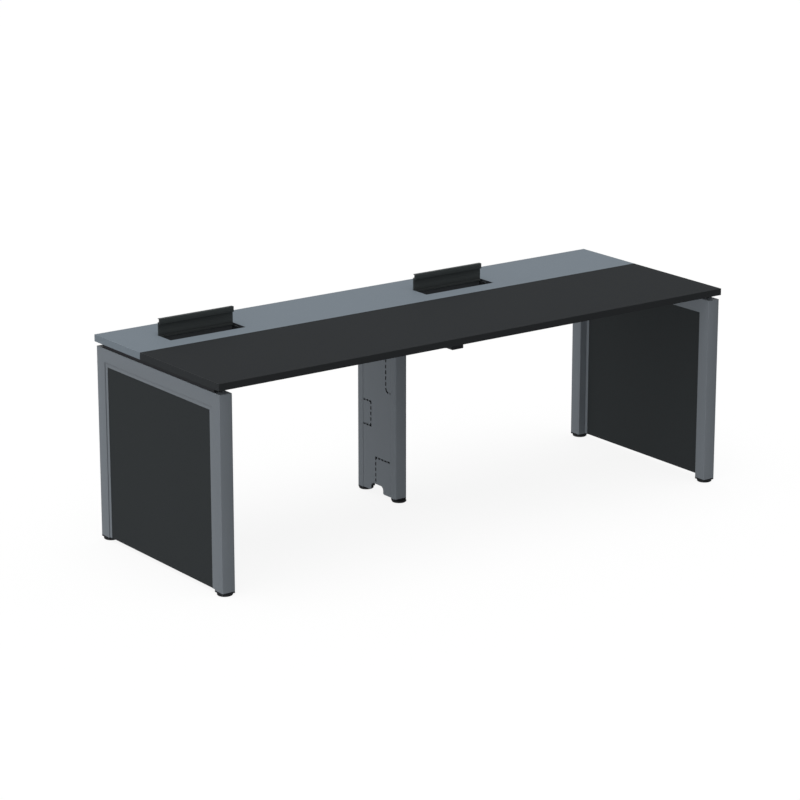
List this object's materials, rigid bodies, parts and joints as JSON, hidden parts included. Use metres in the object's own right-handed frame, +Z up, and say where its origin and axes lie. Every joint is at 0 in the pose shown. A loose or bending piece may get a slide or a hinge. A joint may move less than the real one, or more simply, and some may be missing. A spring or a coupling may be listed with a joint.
{
  "type": "benching desk",
  "caption": "Bench desk for side-by-side places: black worktop with grey cable strip, panelled end frames of square tube, a middle cable riser and flip-lid cable ports.",
  "frame": {"origin": "on the floor, under the middle of the desk", "axes": "+X along the desk, to the right of someone who sits at it; +Y to the rear, away from the sitter; +Z up"},
  "size_m": [2.22, 0.8, 0.811],
  "materials": {
    "black_board": "matt black melamine-faced chipboard with black edge band",
    "grey_board": "matt mid-grey melamine-faced chipboard with grey edge band",
    "panel_board": "matt black melamine-faced chipboard",
    "grey_paint": "satin grey powder coat on steel",
    "trim_metal": "satin grey powder coat on extruded aluminium",
    "black_paint": "satin black powder coat on steel",
    "lid_aluminium": "black anodised extrusion",
    "black_plastic": "matt black moulded plastic",
    "foot_plastic": "black moulded pad on a threaded stud",
    "bright_steel": "bright drawn rod"
  },
  "bodies": {
    "desk": {"front_worktop": "black_board", "rear_service_top": "grey_board", "left_top_rail": "grey_paint", "left_front_leg": "grey_paint", "left_rear_leg": "grey_paint", "right_top_rail": "grey_paint", "right_front_leg": "grey_paint", "right_rear_leg": "grey_paint", "left_end_panel": "panel_board", "right_end_panel": "panel_board", "left_front_trim": "trim_metal", "left_rear_trim": "trim_metal", "left_top_trim": "trim_metal", "right_front_trim": "trim_metal", "right_rear_trim": "trim_metal", "right_top_trim": "trim_metal", "left_front_lower_washer": "black_plastic", "left_front_upper_washer": "black_plastic", "left_rear_lower_washer": "black_plastic", "left_rear_upper_washer": "black_plastic", "right_front_lower_washer": "black_plastic", "right_front_upper_washer": "black_plastic", "right_rear_lower_washer": "black_plastic", "right_rear_upper_washer": "black_plastic", "left_rail_spacer": "black_plastic", "right_rail_spacer": "black_plastic", "arm_spacer": "black_plastic", "left_front_plug": "black_plastic", "left_rear_plug": "black_plastic", "right_front_plug": "black_plastic", "right_rear_plug": "black_plastic", "riser_front_plug": "black_plastic", "riser_rear_plug": "black_plastic", "riser_front_upright": "grey_paint", "riser_rear_upright": "grey_paint", "riser_left_cover": "grey_paint", "riser_right_cover": "grey_paint", "riser_top_plate": "black_paint", "cross_arm": "black_paint", "arm_front_cap": "black_plastic", "arm_rear_cap": "black_plastic", "left_front_beam": "black_paint", "left_rear_beam": "black_paint", "right_front_beam": "black_paint", "right_rear_beam": "black_paint", "left_cable_tray": "black_paint", "right_cable_tray": "black_paint", "left_port_liner": "black_plastic", "right_port_liner": "black_plastic", "left_hinge_rod": "bright_steel", "right_hinge_rod": "bright_steel"},
    "left_lid": {"left_lid": "lid_aluminium"},
    "right_lid": {"right_lid": "lid_aluminium"},
    "left_front_foot": {"left_front_foot": "foot_plastic"},
    "left_rear_foot": {"left_rear_foot": "foot_plastic"},
    "right_front_foot": {"right_front_foot": "foot_plastic"},
    "right_rear_foot": {"right_rear_foot": "foot_plastic"},
    "riser_front_foot": {"riser_front_foot": "foot_plastic"},
    "riser_rear_foot": {"riser_rear_foot": "foot_plastic"}
  },
  "joints": [
    {"name": "left_lid_hinge", "type": "hinge", "parent": "desk", "child": "left_lid", "pos_m": [-0.7825, 0.25255, 0.745], "axis": [1, 0, 0], "range_deg": [0, 90]},
    {"name": "right_lid_hinge", "type": "hinge", "parent": "desk", "child": "right_lid", "pos_m": [0.3275, 0.25255, 0.745], "axis": [1, 0, 0], "range_deg": [0, 90]},
    {"name": "left_front_foot_height", "type": "slide", "parent": "desk", "child": "left_front_foot", "axis": [0, 0, -1], "range_m": [0, 0.015]},
    {"name": "left_rear_foot_height", "type": "slide", "parent": "desk", "child": "left_rear_foot", "axis": [0, 0, -1], "range_m": [0, 0.015]},
    {"name": "right_front_foot_height", "type": "slide", "parent": "desk", "child": "right_front_foot", "axis": [0, 0, -1], "range_m": [0, 0.015]},
    {"name": "right_rear_foot_height", "type": "slide", "parent": "desk", "child": "right_rear_foot", "axis": [0, 0, -1], "range_m": [0, 0.015]},
    {"name": "riser_front_foot_height", "type": "slide", "parent": "desk", "child": "riser_front_foot", "axis": [0, 0, -1], "range_m": [0, 0.015]},
    {"name": "riser_rear_foot_height", "type": "slide", "parent": "desk", "child": "riser_rear_foot", "axis": [0, 0, -1], "range_m": [0, 0.015]}
  ]
}
